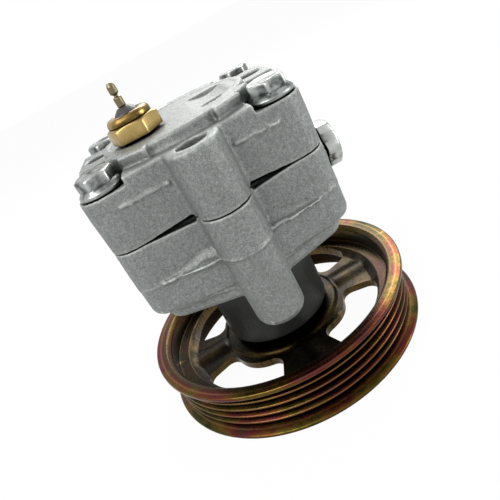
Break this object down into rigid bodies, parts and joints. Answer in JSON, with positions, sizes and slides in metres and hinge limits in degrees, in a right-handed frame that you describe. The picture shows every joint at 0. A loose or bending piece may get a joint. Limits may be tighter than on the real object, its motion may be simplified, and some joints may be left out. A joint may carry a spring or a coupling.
{
  "type": "power steering pump",
  "caption": "Vane power steering pump with a two-piece cast aluminium body, a brass pressure switch and a multi-rib belt pulley in yellow zinc.",
  "frame": {"origin": "on the shaft axis, at the lower face of the pulley rim", "axes": "+Z along the shaft towards the cover, -Y towards the front mounting column, +X towards the valve plug"},
  "size_m": [0.1148, 0.1148, 0.1276],
  "materials": {
    "cast_aluminium": "blasted casting",
    "yellow_zinc": "iridescent yellow zinc plate",
    "bright_zinc": "bright zinc plate",
    "brass": "turned",
    "dark_plastic": "moulded",
    "black_rubber": "moulded",
    "ground_steel": "ground",
    "spring_steel": "oiled",
    "sintered_iron": "sintered",
    "bearing_bronze": "turned"
  },
  "bodies": {
    "pump_body": {"housing": "cast_aluminium", "cover": "cast_aluminium", "bearing_outer_race": "ground_steel", "bearing_retaining_ring": "spring_steel", "shaft_seal": "black_rubber", "shaft_bush": "bearing_bronze", "front_plate": "sintered_iron", "cam_ring": "sintered_iron", "pressure_plate": "sintered_iron", "spring_washer": "spring_steel", "dowel_pin_1": "ground_steel", "dowel_pin_2": "ground_steel", "cover_seal": "black_rubber", "valve_spring": "spring_steel", "valve_plug": "bright_zinc", "plug_seal": "black_rubber", "switch_body": "brass", "switch_insulator": "dark_plastic", "switch_terminal": "bright_zinc", "cover_bolt_1": "bright_zinc", "cover_bolt_2": "bright_zinc", "cover_bolt_3": "bright_zinc", "cover_bolt_4": "bright_zinc"},
    "drive_shaft": {"shaft": "ground_steel", "pulley": "yellow_zinc", "pulley_nut": "bright_zinc", "nut_washer": "bright_zinc", "pulley_key": "ground_steel", "bearing_inner_race": "ground_steel", "rotor": "ground_steel", "rotor_snap_ring": "spring_steel"},
    "ball_set": {"bearing_cage": "dark_plastic", "bearing_ball_1": "ground_steel", "bearing_ball_2": "ground_steel", "bearing_ball_3": "ground_steel", "bearing_ball_4": "ground_steel", "bearing_ball_5": "ground_steel", "bearing_ball_6": "ground_steel", "bearing_ball_7": "ground_steel", "bearing_ball_8": "ground_steel"},
    "flow_valve": {"valve_spool": "ground_steel"},
    "vane_1_blade": {"vane_1": "ground_steel"},
    "vane_2_blade": {"vane_2": "ground_steel"},
    "vane_3_blade": {"vane_3": "ground_steel"},
    "vane_4_blade": {"vane_4": "ground_steel"},
    "vane_5_blade": {"vane_5": "ground_steel"},
    "vane_6_blade": {"vane_6": "ground_steel"},
    "vane_7_blade": {"vane_7": "ground_steel"},
    "vane_8_blade": {"vane_8": "ground_steel"},
    "vane_9_blade": {"vane_9": "ground_steel"},
    "vane_10_blade": {"vane_10": "ground_steel"}
  },
  "joints": [
    {"name": "shaft_spin", "type": "hinge", "parent": "pump_body", "child": "drive_shaft", "pos_m": [0, 0, 0.05], "axis": [0, 0, 1], "continuous": true},
    {"name": "ball_orbit", "type": "hinge", "parent": "pump_body", "child": "ball_set", "pos_m": [0, 0, 0.0246], "axis": [0, 0, 1], "continuous": true},
    {"name": "valve_slide", "type": "slide", "parent": "pump_body", "child": "flow_valve", "axis": [-1, 0, 0], "range_m": [0, 0.003], "stiffness_N_per_m": 600, "springref_m": -0.002, "deforming": ["valve_spring"]},
    {"name": "vane_1_slide", "type": "slide", "parent": "drive_shaft", "child": "vane_1_blade", "axis": [-1, 0, 0], "range_m": [0, 0.0009]},
    {"name": "vane_2_slide", "type": "slide", "parent": "drive_shaft", "child": "vane_2_blade", "axis": [-0.809, -0.5878, 0], "range_m": [0, 0.0009]},
    {"name": "vane_3_slide", "type": "slide", "parent": "drive_shaft", "child": "vane_3_blade", "axis": [-0.309, -0.9511, 0], "range_m": [0, 0.0009]},
    {"name": "vane_4_slide", "type": "slide", "parent": "drive_shaft", "child": "vane_4_blade", "axis": [0.309, -0.9511, 0], "range_m": [0, 0.0009]},
    {"name": "vane_5_slide", "type": "slide", "parent": "drive_shaft", "child": "vane_5_blade", "axis": [0.809, -0.5878, 0], "range_m": [0, 0.0009]},
    {"name": "vane_6_slide", "type": "slide", "parent": "drive_shaft", "child": "vane_6_blade", "axis": [1, 0, 0], "range_m": [0, 0.0009]},
    {"name": "vane_7_slide", "type": "slide", "parent": "drive_shaft", "child": "vane_7_blade", "axis": [0.809, 0.5878, 0], "range_m": [0, 0.0009]},
    {"name": "vane_8_slide", "type": "slide", "parent": "drive_shaft", "child": "vane_8_blade", "axis": [0.309, 0.9511, 0], "range_m": [0, 0.0009]},
    {"name": "vane_9_slide", "type": "slide", "parent": "drive_shaft", "child": "vane_9_blade", "axis": [-0.309, 0.9511, 0], "range_m": [0, 0.0009]},
    {"name": "vane_10_slide", "type": "slide", "parent": "drive_shaft", "child": "vane_10_blade", "axis": [-0.809, 0.5878, 0], "range_m": [0, 0.0009]}
  ],
  "couplings": [
    {"joint": "ball_orbit", "follows": "shaft_spin", "ratio": 0.3816}
  ]
}
